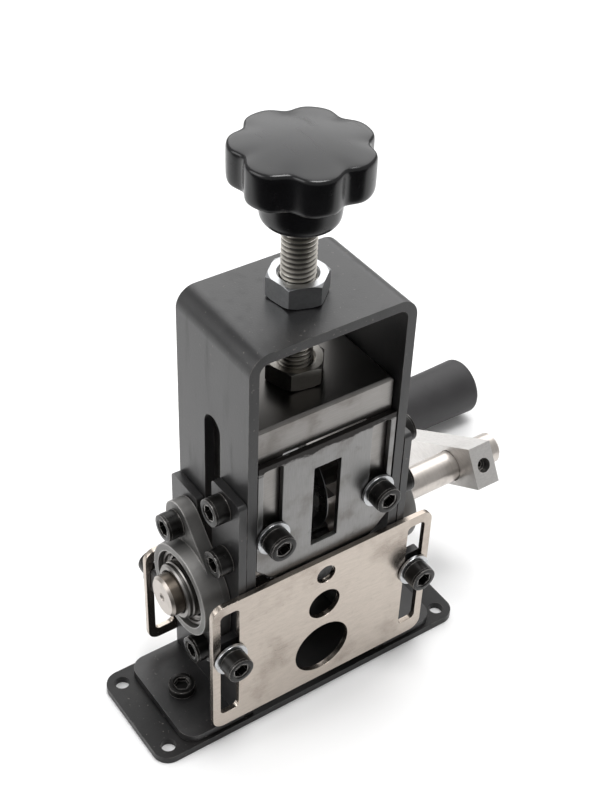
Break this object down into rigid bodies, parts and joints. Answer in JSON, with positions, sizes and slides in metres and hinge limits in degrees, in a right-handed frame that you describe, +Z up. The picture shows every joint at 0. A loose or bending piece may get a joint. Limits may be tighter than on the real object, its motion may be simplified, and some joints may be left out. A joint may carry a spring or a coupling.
{
  "type": "hand crank wire stripper",
  "caption": "Bench tool with a guide plate, a crank-driven feed roller and a round blade that a star knob lowers, to slit the jacket of a cable.",
  "frame": {"origin": "centre of the underside of the base plate", "axes": "+X along the drive shaft towards the crank, +Z up, and the cable enters from -Y"},
  "size_m": [0.2151, 0.1207, 0.2209],
  "materials": {
    "black_paint": "satin black powder coat",
    "bare_steel": "ground bare steel",
    "stainless": "cold rolled sheet, satin",
    "bright_zinc": "bright zinc plate",
    "die_cast": "grey die casting",
    "bearing_steel": "turned and ground",
    "black_oxide": "black oxide, slightly oily",
    "knob_plastic": "glossy black moulding",
    "grip_plastic": "matt dark moulding",
    "cast_aluminium": "milled and tumbled",
    "tool_steel": "hardened and ground"
  },
  "bodies": {
    "stand": {"base_plate": "black_paint", "main_frame": "black_paint", "left_bracket": "black_paint", "right_bracket": "black_paint", "left_bearing_housing": "die_cast", "right_bearing_housing": "die_cast", "left_bearing_insert": "bearing_steel", "right_bearing_insert": "bearing_steel", "left_bearing_bolt_upper": "black_oxide", "left_bearing_bolt_lower": "black_oxide", "right_bearing_bolt_upper": "black_oxide", "right_bearing_bolt_lower": "black_oxide", "left_frame_screw_upper": "black_oxide", "left_frame_screw_lower": "black_oxide", "right_frame_screw_upper": "black_oxide", "right_frame_screw_lower": "black_oxide", "left_foot_screw": "black_oxide", "right_foot_screw": "black_oxide", "front_guide_washer_left": "bright_zinc", "front_guide_washer_right": "bright_zinc", "rear_guide_washer_left": "bright_zinc", "rear_guide_washer_right": "bright_zinc", "front_guide_screw_left": "black_oxide", "front_guide_screw_right": "black_oxide", "rear_guide_screw_left": "black_oxide", "rear_guide_screw_right": "black_oxide", "top_nut": "bright_zinc"},
    "front_guide": {"front_guide_plate": "stainless"},
    "rear_guide": {"rear_guide_plate": "stainless"},
    "drive": {"drive_shaft": "bearing_steel", "feed_roller": "tool_steel", "left_inner_ring": "bearing_steel", "right_inner_ring": "bearing_steel", "crank_arm": "cast_aluminium", "crank_set_screw": "black_oxide", "grip_pin": "bearing_steel", "grip_nut": "bright_zinc"},
    "grip": {"crank_grip": "grip_plastic"},
    "carriage": {"carriage_block": "bare_steel", "blade_axle": "bearing_steel", "left_blade_spacer": "bearing_steel", "right_blade_spacer": "bearing_steel", "left_guard_washer": "bright_zinc", "right_guard_washer": "bright_zinc", "left_guard_screw": "black_oxide", "right_guard_screw": "black_oxide"},
    "guard": {"guard_plate": "bare_steel"},
    "blade": {"round_blade": "tool_steel"},
    "spindle": {"threaded_spindle": "bright_zinc", "star_knob": "knob_plastic", "collar_nut": "black_oxide", "retaining_nut": "bright_zinc"}
  },
  "joints": [
    {"name": "front_guide_slide", "type": "slide", "parent": "stand", "child": "front_guide", "axis": [0, 0, 1], "range_m": [-0.005, 0.012]},
    {"name": "rear_guide_slide", "type": "slide", "parent": "stand", "child": "rear_guide", "axis": [0, 0, 1], "range_m": [-0.0064, 0.0234]},
    {"name": "crank_turn", "type": "hinge", "parent": "stand", "child": "drive", "pos_m": [0, 0, 0.0593], "axis": [1, 0, 0], "continuous": true},
    {"name": "grip_spin", "type": "hinge", "parent": "drive", "child": "grip", "pos_m": [0.0856, 0.07712, 0.01388], "axis": [1, 0, 0], "continuous": true},
    {"name": "carriage_slide", "type": "slide", "parent": "stand", "child": "carriage", "axis": [0, 0, 1], "range_m": [0, 0.02]},
    {"name": "guard_slide", "type": "slide", "parent": "carriage", "child": "guard", "axis": [0, 0, 1], "range_m": [-0.026, 0]},
    {"name": "blade_spin", "type": "hinge", "parent": "carriage", "child": "blade", "pos_m": [0.0025, 0, 0.0886], "axis": [1, 0, 0], "continuous": true},
    {"name": "spindle_turn", "type": "hinge", "parent": "carriage", "child": "spindle", "pos_m": [0, 0, 0.135], "axis": [0, 0, 1], "range_deg": [0, 4114.4]}
  ],
  "couplings": [
    {"joint": "spindle_turn", "follows": "carriage_slide", "rad_per_m": 3590.4}
  ]
}
